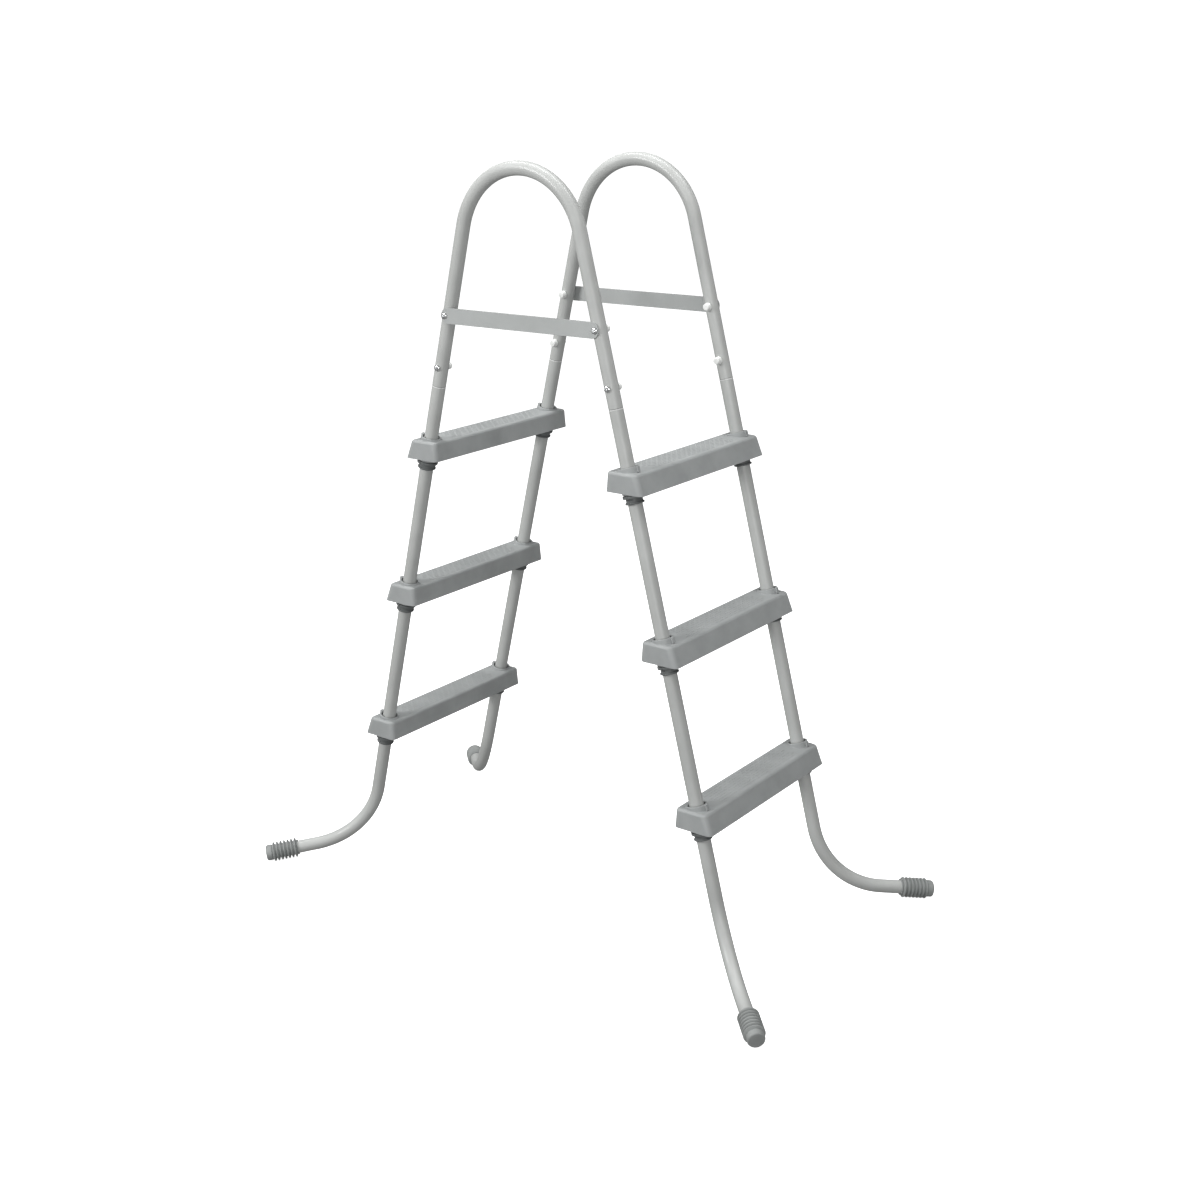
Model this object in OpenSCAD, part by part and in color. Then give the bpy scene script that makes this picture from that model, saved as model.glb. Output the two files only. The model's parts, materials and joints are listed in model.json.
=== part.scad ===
// Above-ground pool ladder: two bent handrails, four bent legs and six moulded steps.
// Millimetres, +Z up. X runs across the pool wall, from one flight of steps to the other.
// Y runs along the steps. The origin is on the ground, in the middle of the four feet.
// Each leg, with all that sits on it, is drawn once for the back right and mirrored.

/* [Tube frame] */
// Outside diameter of every tube
tube_d = 25; // [20:0.5:30]
// Wall of every tube
tube_wall = 1.2; // [0.8:0.1:1.6]
// Lean of the legs away from upright, in degrees
lean = 13.7; // [9:0.1:17]
// Distance between the front and the back handrail, centre to centre
rail_gap = 338; // [280:1:420]
// Centreline radius of the bend at the top of each handrail
rail_bend_r = 130; // [100:1:160]

/* [Heights] */
// Height of the lowest tread above the ground
first_tread = 310; // [290:1:380]
// Rise from one tread to the next
rise = 285; // [200:1:350]
// Height of the leg joint above the top tread
joint_up = 101; // [60:1:160]
// Height of the brace bar's middle above the leg joint
brace_up = 130; // [90:1:200]
// Height of the handrail bend's centre above the brace bar's middle
bend_up = 126.5; // [60:0.5:250]

/* [Feet] */
// Centreline radius of the bend in each foot
foot_bend_r = 150; // [110:1:180]
// Angle through which each foot is bent, in degrees
foot_bend = 72.5; // [66:0.5:76]
// Turn of the foot's bend about the leg, from straight outwards, in degrees
foot_turn = 47; // [30:1:60]
// Length of straight tube past the foot's bend
foot_straight = 97; // [75:1:140]

/* [Steps] */
// Height of a step moulding
step_h = 35; // [28:1:45]
// Depth of the tread from its inner edge to its outer edge
step_depth = 60; // [54:1:90]
// Length of a step past the handrail's centreline at each end
step_overhang = 23; // [23:1:45]
// Widening of each long side from the tread down to the lower rim
step_draft = 8; // [4:0.5:12]
// Shift of the lower rim outwards, towards the lean of the leg
step_shift = 5.5; // [2:0.5:8]
// Wall of the step moulding
step_wall = 3; // [2.5:0.1:4]
// Radius of the step's upright corners
step_corner_r = 9; // [6:0.5:12]
// Radius of the edge round the tread
step_edge_r = 4; // [2:0.5:5]
// Height of the collar above the tread, along the leg
collar_up = 6; // [3:0.5:10]

/* [Step stops] */
// Width of the flange that carries the step, past the stop's sleeve
stop_flange_w = 3.7; // [2.7:0.1:5]
// Thickness of the flange
stop_flange_t = 5; // [3:0.5:7]
// Length of the stop below its flange
stop_tail = 10; // [6:0.5:14]
// How far the stop's lower lip stands out past its sleeve
stop_lip_w = 1.2; // [0:0.1:2]
// Wall of the stop between the tube and the step
stop_wall = 2.65; // [2:0.05:3]
// Diameter of the peg that locks the stop in the tube
peg_d = 5; // [4:0.5:6]

/* [Leg joint] */
// Length of the swaged end that fits into the handrail
spigot_len = 70; // [50:1:90]
// Distance of the joint screw above the joint, along the leg
joint_screw_up = 36; // [20:1:45]

/* [Brace bars] */
// Height of a brace bar
brace_h = 28; // [20:1:36]
// Thickness of a brace bar
brace_t = 2; // [1.5:0.5:4]
// Length of a brace bar past its screw
brace_overhang = 7.5; // [7:0.5:14]

/* [Fasteners] */
// Thread diameter of the screws
screw_d = 6; // [5:0.5:6]
// Diameter of the pan heads
head_d = 12; // [10:0.5:13]
// Height of the pan heads
head_h = 3.6; // [2.5:0.1:4.5]
// Size of the nuts across their flats
nut_flats = 10; // [9:0.5:11]
// Thickness of the nuts
nut_h = 5; // [4:0.5:6]
// Wall of the plastic cap over each nut
nut_cap_wall = 1; // [0.8:0.1:1.5]

/* [Foot caps] */
// Length of a foot cap
cap_len = 64; // [50:1:80]
// Thickness of the closed end of a foot cap
cap_end = 5; // [3:0.5:8]
// Wall of a foot cap between its ribs
cap_wall = 3; // [2:0.25:4]
// Number of ribs round a foot cap
cap_ribs = 7; // [5:1:8]
// Distance from one rib to the next
cap_pitch = 7.1; // [6:0.1:8]
// Radius of a rib's round crest
cap_rib_r = 2.6; // [2:0.1:3]

/* [Hidden] */
$fn = 64;
hull_fn = 32;
fit = 0.1;         // gap between pieces that rest on or fit each other
slide_fit = 0.3;   // gap between a step and the stop inside it
hole_fit = 0.5;    // added to a screw's or peg's diameter for its hole
over = 1;          // how far a cut runs past the face it opens

ENDS = ["front", "back"];
SIDES = ["left", "right"];
LEVELS = ["bottom", "middle", "top"];
HALVES = ["inner", "outer"];
function level(name) = search([name], LEVELS)[0];

// Tubes
tube_bore = tube_d - 2 * tube_wall;
spigot_d = tube_bore - 4 * fit;
swage_len = 6;
seam = 0.4;

// Foot, in the leg's own frame: +z up the leg, +x outwards, origin where the bend starts
cap_tip = foot_straight + cap_end;
cap_first_rib = 5.6;
cap_rib_ring_r = tube_d / 2 + cap_wall + 0.9;
last_rib = cap_tip - cap_len + cap_first_rib + (cap_ribs - 1) * cap_pitch;
bend_end = foot_bend_r * [
    (1 - cos(foot_bend)) * cos(foot_turn),
    (1 - cos(foot_bend)) * sin(foot_turn),
    -sin(foot_bend)];
foot_dir = [sin(foot_bend) * cos(foot_turn), sin(foot_bend) * sin(foot_turn), -cos(foot_bend)];
function climb(v) = v.x * sin(lean) + v.z * cos(lean);
foot_dip = asin(-climb(foot_dir));
last_rib_z = cap_rib_ring_r * cos(foot_dip) + cap_rib_r;
bend_z = last_rib_z - climb(bend_end) - climb(foot_dir) * last_rib;

// Heights above the ground
function tread_z(i) = first_tread + i * rise;
joint_z = tread_z(len(LEVELS) - 1) + joint_up;
brace_z = joint_z + brace_up;
rail_bend_z = brace_z + bend_up;
joint_screw_z = joint_z + joint_screw_up * cos(lean);
leg_len = (joint_z - bend_z) / cos(lean);
rail_len = (rail_bend_z + rail_bend_r * sin(lean) - joint_z) / cos(lean);
function leg_x(z) = rail_bend_r / cos(lean) + (rail_bend_z - z) * tan(lean);

// Steps and stops, in the leg's frame with its origin at the tread
step_len = rail_gap + 2 * step_overhang;
step_end_draft = 1;
stop_bore = tube_d + 3 * fit;
stop_d = stop_bore + 2 * stop_wall;
stop_flange_d = stop_d + 2 * stop_flange_w;
step_bore = stop_d + 2 * slide_fit;
boss_d = step_bore + 2 * step_wall;
collar_d = step_bore + 7;
collar_sink = 8;
collar_foot_d = collar_d / cos(lean) + 0.8;
collar_foot_h = 2.1;
collar_tab_w = 7;
collar_tab_out = 3;
flange_z = -(step_h + stop_flange_d / 2 * sin(lean)) / cos(lean) - fit;
stop_top = -14;
stop_groove = 0.9;
stop_lip_h = 4;
peg_z = flange_z + 12;
peg_in = tube_d / 2 - tube_wall - 1.5;
split_half = 1.2;  // half of the angle left open between the two halves of a stop
rib_t = 2;
cross_ribs = 7;

// Fasteners
screw_hole = screw_d + hole_fit;
screw_tip = 2;
recess_w = 1.5;
recess_len = 6.4;
recess_deep = 2;
dome_r = head_d * 0.8;
nut_cap_d = nut_flats / cos(30) + 2 * fit + 2 * nut_cap_wall;
nut_cap_h = nut_h + screw_tip + 2;

// Placing: children drawn for the back right are put at any of the four legs
module at(end, side)
    mirror([0, end == "front" ? 1 : 0, 0])
        mirror([side == "left" ? 1 : 0, 0, 0])
            children();

// A point on the back right leg at a height, with +z up the leg
module on_leg(z)
    translate([leg_x(z), rail_gap / 2, z])
        rotate([0, -lean, 0])
            children();

// A bend of radius r about the origin, its middle on +Y, made of two halves that meet at x = 0.
// Child 0 is drawn on its right-hand end and child 1 on its left-hand end
module bend(d, r, angle)
    for (i = [0, 1])
        rotate([0, 180 * i, 0]) {
            intersection() {
                rotate([0, 0, 90 - angle / 2])
                    rotate_extrude(angle = angle / 2 + over)
                        translate([r, 0])
                            circle(d = d);
                translate([0, -2 * r, -d])
                    cube([2 * r, 4 * r, 2 * d]);
            }
            off_bend(r, angle)
                children(i);
        }

// The right-hand end of a bend, with +z away from it
module off_bend(r, angle)
    rotate([0, 0, 90 - angle / 2])
        translate([r, 0, 0])
            rotate([90, 0, 0])
                children();

// The plane of a foot's bend, with the leg on the bend's right-hand end
module foot_plane()
    on_leg(bend_z)
        rotate([0, 0, foot_turn])
            translate([foot_bend_r, 0, 0])
                rotate([90, -90 - foot_bend / 2, 0])
                    children();

// The start of the straight foot, with +z towards the foot's end
module on_foot()
    foot_plane()
        rotate([0, 180, 0])
            off_bend(foot_bend_r, foot_bend)
                children();

// A hole along Y through the tube
module cross_hole(d)
    rotate([90, 0, 0])
        cylinder(d = d, h = tube_d + 4 * over, center = true);

// One handrail: a bend at the top and a straight arm down to each leg joint
module handrail_form(d, extra)
    translate([0, rail_gap / 2, rail_bend_z])
        rotate([90, 0, 0])
            bend(d, rail_bend_r, 180 - 2 * lean) {
                cylinder(d = d, h = rail_len - seam + extra);
                cylinder(d = d, h = rail_len - seam + extra);
            }

module handrail(end)
    color("#b7b9b8")
        at(end, "right")
            difference() {
                handrail_form(tube_d, 0);
                handrail_form(tube_bore, over);
                for (side = SIDES, z = [joint_screw_z, brace_z])
                    at("back", side)
                        on_leg(z)
                            cross_hole(screw_hole);
            }

// One leg: a straight tube with a swaged spigot on top, the foot's bend and the straight foot
module leg_form(d, end_d, narrow_z, extra)
    foot_plane()
        bend(d, foot_bend_r, foot_bend) {
            rotate_extrude()
                polygon([
                    [0, 0], [d / 2, 0], [d / 2, narrow_z], [end_d / 2, leg_len],
                    [end_d / 2, leg_len + spigot_len + extra], [0, leg_len + spigot_len + extra]]);
            cylinder(d = d, h = foot_straight + extra);
        }

module leg(end, side)
    color("#b7b9b8")
        at(end, side)
            difference() {
                leg_form(tube_d, spigot_d, leg_len, 0);
                leg_form(tube_bore, spigot_d - 2 * tube_wall, leg_len - swage_len, over);
                on_leg(joint_screw_z)
                    cross_hole(screw_hole);
                for (l = LEVELS)
                    on_leg(tread_z(level(l)))
                        translate([0, 0, peg_z])
                            rotate([0, 90, 0])
                                cylinder(d = peg_d + hole_fit, h = tube_d + 2 * over, center = true);
            }

// The body of a step, or its hollow when inset by the wall. Origin on the leg at the tread
module step_block(inset, corner_r, edge_r, drop)
    hull()
        for (x = [-1, 1], y = [-1, 1]) {
            translate([
                x * (step_depth / 2 - inset - corner_r),
                y * (step_len / 2 - inset - corner_r),
                -inset - edge_r])
                rotate_extrude($fn = hull_fn)
                    translate([corner_r - edge_r, 0])
                        circle(r = edge_r, $fn = hull_fn);
            translate([
                step_shift + x * (step_depth / 2 + step_draft - inset - corner_r),
                y * (step_len / 2 + step_end_draft - inset - corner_r),
                -step_h - drop])
                cylinder(r = corner_r, h = 1, $fn = hull_fn);
        }

// Both legs of one flight, in the step's frame
module at_both_legs()
    for (y = [-1, 1])
        translate([0, y * rail_gap / 2, 0])
            rotate([0, -lean, 0])
                children();

module step_bosses()
    at_both_legs()
        translate([0, 0, flange_z + fit])
            cylinder(d = boss_d, h = -flange_z - fit - step_edge_r);

module step_ribs() {
    translate([step_shift / 2 - rib_t / 2, -step_len / 2, -step_h - over])
        cube([rib_t, step_len, step_h]);
    for (i = [1:cross_ribs])
        translate([-step_depth, (i / (cross_ribs + 1) - 0.5) * rail_gap - rib_t / 2, -step_h + rib_t])
            cube([2 * step_depth, rib_t, step_h]);
}

module step_collars()
    at_both_legs()
        translate([0, 0, -collar_sink]) {
            cylinder(d = collar_d, h = collar_sink + collar_up);
            translate([0, -collar_tab_w / 2, 0])
                cube([collar_d / 2 + collar_tab_out, collar_tab_w, collar_sink + collar_up]);
        }

// A low upright foot round each collar, below its rim, so that nothing overhangs the tread
module step_collar_feet()
    for (y = [-1, 1])
        translate([0, y * rail_gap / 2, 0])
            intersection() {
                translate([0, 0, -step_wall / 2])
                    cylinder(d = collar_foot_d, h = step_wall / 2 + collar_foot_h);
                rotate([0, -lean, 0])
                    translate([0, 0, -collar_d])
                        cylinder(d = 2 * collar_d, h = collar_d + collar_up - 0.6);
            }

module step(side, l)
    color("#a6a9a9")
        at("back", side)
            translate([leg_x(tread_z(level(l))), 0, tread_z(level(l))])
                difference() {
                    union() {
                        step_block(0, step_corner_r, step_edge_r, 0);
                        step_bosses();
                        step_collars();
                        step_collar_feet();
                    }
                    difference() {
                        step_block(step_wall, step_corner_r - step_wall, 1, over);
                        step_bosses();
                        step_ribs();
                        step_collars();
                    }
                    at_both_legs()
                        translate([0, 0, flange_z - over])
                            cylinder(d = step_bore, h = collar_up - flange_z + 2 * over);
                }

// One half of a stop: sleeve, flange, groove, lip and the peg that enters the tube
module step_stop(end, side, l, half) {
    r = stop_d / 2;
    tail_z = flange_z - stop_flange_t - stop_tail;
    lip_z = tail_z + stop_lip_h;
    color("#5c5f61")
        at(end, side)
            on_leg(tread_z(level(l)))
                rotate([0, 0, half == "inner" ? 180 : 0]) {
                    rotate_extrude(angle = 180 - 2 * split_half, start = -90 + split_half)
                        polygon([
                            [stop_bore / 2, stop_top], [r - 1, stop_top],
                            [r, stop_top - 2], [r, flange_z],
                            [stop_flange_d / 2, flange_z], [stop_flange_d / 2, flange_z - stop_flange_t],
                            [r - stop_groove, flange_z - stop_flange_t], [r - stop_groove, lip_z],
                            [r + stop_lip_w, lip_z - 1], [r + stop_lip_w, tail_z],
                            [stop_bore / 2, tail_z]]);
                    translate([peg_in, 0, peg_z])
                        rotate([0, 90, 0])
                            cylinder(d = peg_d, h = stop_bore / 2 + stop_wall / 2 - peg_in);
                }
}

// One brace bar: a flat strip with round ends, screwed to the outer faces of a handrail
module brace_bar(end) {
    half_len = leg_x(brace_z) + brace_overhang;
    color("#aaadac")
        at(end, "right")
            translate([0, rail_gap / 2 + tube_d / 2 + fit, brace_z])
                rotate([-90, 0, 0])
                    linear_extrude(brace_t)
                        difference() {
                            union() {
                                square([2 * half_len - brace_h, brace_h], center = true);
                                for (x = [-1, 1])
                                    translate([x * (half_len - brace_h / 2), 0])
                                        circle(d = brace_h);
                            }
                            for (x = [-1, 1])
                                translate([x * leg_x(brace_z), 0])
                                    circle(d = screw_hole);
                        }
}

// Fasteners lie along Y through the tube: heads outside, nuts and caps inside
module at_screws(z)
    for (end = ENDS, side = SIDES)
        at(end, side)
            on_leg(z)
                rotate([-90, 0, 0])
                    children();

module screw(grip) {
    tip = -tube_d / 2 - fit - nut_h - screw_tip;
    translate([0, 0, tip])
        cylinder(d = screw_d, h = grip - tip);
    translate([0, 0, grip])
        difference() {
            intersection() {
                cylinder(d = head_d, h = head_h);
                translate([0, 0, head_h - dome_r])
                    sphere(r = dome_r);
            }
            for (a = [0, 90])
                rotate([0, 0, a])
                    translate([-recess_len / 2, -recess_w / 2, head_h - recess_deep])
                        cube([recess_len, recess_w, recess_deep + over]);
        }
}

module nut()
    translate([0, 0, -tube_d / 2 - fit - nut_h])
        difference() {
            cylinder(d = nut_flats / cos(30), h = nut_h, $fn = 6);
            translate([0, 0, -over])
                cylinder(d = screw_d + 2 * fit, h = nut_h + 2 * over);
        }

module nut_cap()
    translate([0, 0, -tube_d / 2 - fit])
        difference() {
            intersection() {
                translate([0, 0, -nut_cap_h])
                    cylinder(d = nut_cap_d, h = nut_cap_h);
                translate([0, 0, nut_cap_d * 0.62 - nut_cap_h])
                    sphere(r = nut_cap_d * 0.62);
            }
            translate([0, 0, -nut_h - fit])
                cylinder(d = nut_flats / cos(30) + 2 * fit, h = nut_h + fit + over, $fn = 6);
            translate([0, 0, -nut_h - screw_tip - fit])
                cylinder(d = screw_d + 4 * fit, h = nut_h);
        }

module brace_screws()
    color("#c9cbcc")
        at_screws(brace_z)
            screw(tube_d / 2 + brace_t + 2 * fit);

module joint_screws()
    color("#c9cbcc")
        at_screws(joint_screw_z)
            screw(tube_d / 2 + fit);

module nuts(z)
    color("#b9bbbc")
        at_screws(z)
            nut();

module nut_caps(z)
    color("#f2f3f2")
        at_screws(z)
            nut_cap();

// One foot cap: a ribbed rubber sock pushed over the end of the foot
module foot_cap(end, side) {
    cap_d = tube_d + 2 * cap_wall;
    color("#8f9293")
        at(end, side)
            on_foot()
                translate([0, 0, cap_tip - cap_len])
                    rotate_extrude()
                        difference() {
                            union() {
                                square([cap_d / 2, cap_len - 2]);
                                square([cap_d / 2 - 2, cap_len]);
                                translate([cap_d / 2 - 2, cap_len - 2])
                                    circle(r = 2);
                                for (i = [0:cap_ribs - 1])
                                    translate([cap_rib_ring_r, cap_first_rib + i * cap_pitch])
                                        circle(r = cap_rib_r);
                            }
                            translate([-over, -over])
                                square([tube_d / 2 + fit + over, cap_len - cap_end + over]);
                            translate([-cap_d, -over])
                                square([cap_d, cap_len + 2 * over]);
                        }
}

for (e = ENDS) {
    handrail(e);
    brace_bar(e);
}
for (e = ENDS, s = SIDES) {
    leg(e, s);
    foot_cap(e, s);
}
for (s = SIDES, l = LEVELS)
    step(s, l);
for (e = ENDS, s = SIDES, l = LEVELS, h = HALVES)
    step_stop(e, s, l, h);
brace_screws();
nuts(brace_z);  // brace_nuts
nut_caps(brace_z);  // brace_nut_caps
joint_screws();
nuts(joint_screw_z);  // joint_nuts
nut_caps(joint_screw_z);  // joint_nut_caps
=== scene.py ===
"""Looks of an above-ground pool ladder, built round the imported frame.

Metres, +Z up, in the frame's own axes: X runs across the pool wall and Y along the steps.
Each leg of the ladder, with all that sits on it, is built once for the back right corner and
mirrored to the other three. Sizes in the classes are in millimetres.
"""

import json
import logging
import math
from dataclasses import dataclass, field
from enum import Enum
from typing import Callable, Iterable, Optional

import bmesh
import bpy
from bmesh.types import BMEdge, BMesh, BMFace, BMVert
from bpy.types import ID, Material, Node, NodeSocket, NodeTree, Object, World
from mathutils import Matrix, Vector

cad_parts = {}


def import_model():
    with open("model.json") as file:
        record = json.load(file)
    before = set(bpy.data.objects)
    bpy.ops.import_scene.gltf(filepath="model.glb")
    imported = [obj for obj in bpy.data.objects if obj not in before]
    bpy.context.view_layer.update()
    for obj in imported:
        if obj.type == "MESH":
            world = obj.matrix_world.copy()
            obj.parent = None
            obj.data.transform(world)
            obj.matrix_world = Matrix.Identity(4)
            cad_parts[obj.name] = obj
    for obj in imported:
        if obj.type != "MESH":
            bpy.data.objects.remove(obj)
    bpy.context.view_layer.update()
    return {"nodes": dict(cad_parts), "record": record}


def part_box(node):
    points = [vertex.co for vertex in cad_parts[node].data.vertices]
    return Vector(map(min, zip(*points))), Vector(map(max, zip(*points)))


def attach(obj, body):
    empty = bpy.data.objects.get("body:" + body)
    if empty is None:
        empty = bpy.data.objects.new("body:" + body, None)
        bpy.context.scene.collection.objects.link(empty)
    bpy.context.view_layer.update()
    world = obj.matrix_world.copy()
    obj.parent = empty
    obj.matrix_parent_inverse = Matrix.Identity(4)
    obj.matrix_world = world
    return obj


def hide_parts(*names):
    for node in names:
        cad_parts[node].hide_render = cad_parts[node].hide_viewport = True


MM = 0.001
# Millimetres within which points count as one or as level
TINY = 1e-3
# Faces of a moulding or a strip that are larger than this are shaded flat, in mm2
LARGE_FLAT = 1000
# Points of (radius or width, height), in millimetres
Outline = list[tuple[float, float]]
LOG = logging.getLogger("pool_ladder")


class End(Enum):
    """Front or back of the ladder, with the sign of Y."""

    FRONT = -1
    BACK = 1


class Side(Enum):
    """Left or right flight of steps, with the sign of X."""

    LEFT = -1
    RIGHT = 1


class Level(Enum):
    """The three steps of a flight."""

    BOTTOM = "bottom"
    MIDDLE = "middle"
    TOP = "top"


def corner_name(end: End, side: Side) -> str:
    """Return a corner's name as the frame's nodes write it."""
    return f"{end.name.lower()}_{side.name.lower()}"


# ==== Materials


def linear(hex_colour: str) -> tuple[float, float, float, float]:
    """Turn an sRGB hex colour into linear RGBA.

    Args:
        hex_colour: six hex digits, with or without a leading #.

    Returns:
        Linear red, green, blue and an alpha of 1.
    """
    digits = hex_colour.lstrip("#")
    srgb = [int(digits[i : i + 2], 16) / 255 for i in (0, 2, 4)]
    rgb = [c / 12.92 if c <= 0.04045 else ((c + 0.055) / 1.055) ** 2.4 for c in srgb]
    return (rgb[0], rgb[1], rgb[2], 1.0)


def add_node(
    tree: NodeTree, kind: str, values: Optional[dict] = None, links: Optional[dict] = None
) -> Node:
    """Add a shader node with its settings and links.

    Args:
        tree: the material's or world's node tree.
        kind: the node's type name.
        values: what to set, by input name, input number or property name.
        links: the output socket that feeds each named or numbered input.

    Returns:
        The new node.
    """
    node = tree.nodes.new(kind)
    for key, value in (values or {}).items():
        if isinstance(key, str) and key not in node.inputs:
            setattr(node, key, value)
        else:
            node.inputs[key].default_value = value
    for key, socket in (links or {}).items():
        tree.links.new(socket, node.inputs[key])
    return node


def emptied_tree(owner: Material | World) -> NodeTree:
    """Turn on the nodes of a material or world and clear them.

    Args:
        owner: the material or world.

    Returns:
        Its empty node tree.
    """
    owner.use_nodes = True
    owner.node_tree.nodes.clear()
    return owner.node_tree


@dataclass(frozen=True)
class Finish:
    """A surface whose colour, gloss and relief vary by noise at real sizes.

    Attributes:
        name: what the material is.
        light, dark: the two hex colours that the cloudy variation runs between.
        cloud_mm: size of the cloudy patches.
        roughness: lowest and highest roughness.
        grain_mm: size of the fine relief.
        grain_deep_mm: depth of the fine relief.
        metallic, coat, coat_roughness, ior: set alike all over. No ior keeps the default.
        noise_span: the values that a noise keeps between, which are spread to the wanted range.
    """

    name: str
    light: str
    dark: str
    cloud_mm: float
    roughness: tuple[float, float]
    grain_mm: float
    grain_deep_mm: float
    metallic: float = 0.0
    coat: float = 0.0
    coat_roughness: float = 0.1
    ior: Optional[float] = None
    noise_span: tuple[float, float] = (0.3, 0.7)

    def vary(
        self, tree: NodeTree, size_mm: float, detail: float, low: float, high: float
    ) -> NodeSocket:
        """Add a value that varies over the surface in patches of a real size.

        Args:
            tree: the material's node tree.
            size_mm: width of a patch.
            detail: number of finer octaves.
            low, high: the ends of the value's range.

        Returns:
            The value.
        """
        place = add_node(tree, "ShaderNodeTexCoord")
        noise = add_node(
            tree,
            "ShaderNodeTexNoise",
            {"Scale": 1 / (size_mm * MM), "Detail": detail, "Roughness": 0.55},
            {"Vector": place.outputs["Object"]},
        )
        least, most = self.noise_span
        spread = add_node(
            tree,
            "ShaderNodeMapRange",
            {"From Min": least, "From Max": most, "To Min": low, "To Max": high},
            {"Value": noise.outputs["Fac"]},
        )
        return spread.outputs["Result"]

    def colour(self, tree: NodeTree) -> NodeSocket:
        """Add the cloudy base colour.

        Args:
            tree: the material's node tree.

        Returns:
            The colour.
        """
        share = self.vary(tree, self.cloud_mm, 3.0, 0.0, 1.0)
        ends = {"data_type": "RGBA", 6: linear(self.dark), 7: linear(self.light)}
        return add_node(tree, "ShaderNodeMix", ends, {"Factor": share}).outputs[2]

    def material(self) -> Material:
        """Build the material.

        Returns:
            The new material, with a Principled BSDF.
        """
        made = bpy.data.materials.new(self.name)
        tree = emptied_tree(made)
        deep = self.grain_deep_mm * MM
        relief = self.vary(tree, self.grain_mm, 2.0, -deep, deep)
        bump = add_node(tree, "ShaderNodeBump", {"Distance": 1.0}, {"Height": relief})
        gloss = self.vary(tree, self.cloud_mm / 3, 4.0, *self.roughness)
        fixed = {
            "Metallic": self.metallic, "Coat Weight": self.coat, "Coat Roughness": self.coat_roughness
        }
        if self.ior is not None:
            fixed["IOR"] = self.ior
        varied = {"Base Color": self.colour(tree), "Roughness": gloss, "Normal": bump.outputs["Normal"]}
        shader = add_node(tree, "ShaderNodeBsdfPrincipled", fixed, varied)
        add_node(tree, "ShaderNodeOutputMaterial", links={"Surface": shader.outputs["BSDF"]})
        return made


@dataclass(frozen=True)
class PowderCoat(Finish):
    """Powder-coated steel tube: a soft satin skin, chipped to bare steel at the joint.

    Attributes:
        steel, painted_joint_shade: hex colours of the bare steel and of the shadow line in the joint's
            gap, painted on as a dark band.
        joint_along_mm: how far up the leg line the joint is, from the origin's foot on that line.
        lean: the leg line's lean from upright, in radians.
        off_mm: how far the middle of the painted shadow line is above the joint, and the chips' below
            it.
        painted_joint_shade_mm, chip_mm: how far the painted shadow line and the largest chip reach from
            their middles.
        chip_least: the smallest chip's reach as a share of the largest's.
        chip_long_mm: size of a chip round the tube.
    """

    steel: str = "#E2E3E2"
    # Colour of the painted shade in the joint's gap: a dark line just above the joint
    painted_joint_shade: str = "#6F7271"
    joint_along_mm: float = 0.0
    lean: float = 0.0
    off_mm: float = 0.6
    painted_joint_shade_mm: float = 0.45
    chip_mm: float = 1.3
    chip_least: float = 0.2
    chip_long_mm: float = 5.0

    def colour(self, tree: NodeTree) -> NodeSocket:
        """Add the coat's colour with a painted shadow line and a line of chips round the joint.

        Args:
            tree: the material's node tree.

        Returns:
            The colour.
        """
        # The distance up the leg line, the same on all four legs
        place = add_node(tree, "ShaderNodeTexCoord").outputs["Object"]
        corner = add_node(tree, "ShaderNodeVectorMath", {"operation": "ABSOLUTE"}, {0: place})
        up = (-math.sin(self.lean), 0, math.cos(self.lean))
        dot = {"operation": "DOT_PRODUCT", 1: up}
        dotted = add_node(tree, "ShaderNodeVectorMath", dot, {0: corner.outputs["Vector"]})
        chip = self.chip_mm * MM
        ragged = self.vary(tree, self.chip_long_mm, 3.0, self.chip_least * chip, chip)
        so_far = super().colour(tree)
        for paint, values, links in (
            # The dark band above the joint is painted shade in the gap; the bright band below is bare
            # steel where the coat is chipped
            (self.painted_joint_shade, {1: (self.joint_along_mm + self.off_mm) * MM, 2: self.painted_joint_shade_mm * MM}, {}),
            (self.steel, {1: (self.joint_along_mm - self.off_mm) * MM}, {2: ragged}),
        ):
            near = {"operation": "COMPARE", **values}
            links[0] = dotted.outputs["Value"]
            band = add_node(tree, "ShaderNodeMath", near, links).outputs[0]
            over = {"data_type": "RGBA", 7: linear(paint)}
            so_far = add_node(tree, "ShaderNodeMix", over, {"Factor": band, 6: so_far}).outputs[2]
        return so_far


@dataclass(frozen=True)
class Finishes:
    """The ladder's materials, by the record's slots."""

    tube: Material
    bar: Material
    step: Material
    stop: Material
    screw: Material
    nut: Material
    nut_cap: Material
    foot_cap: Material


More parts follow.
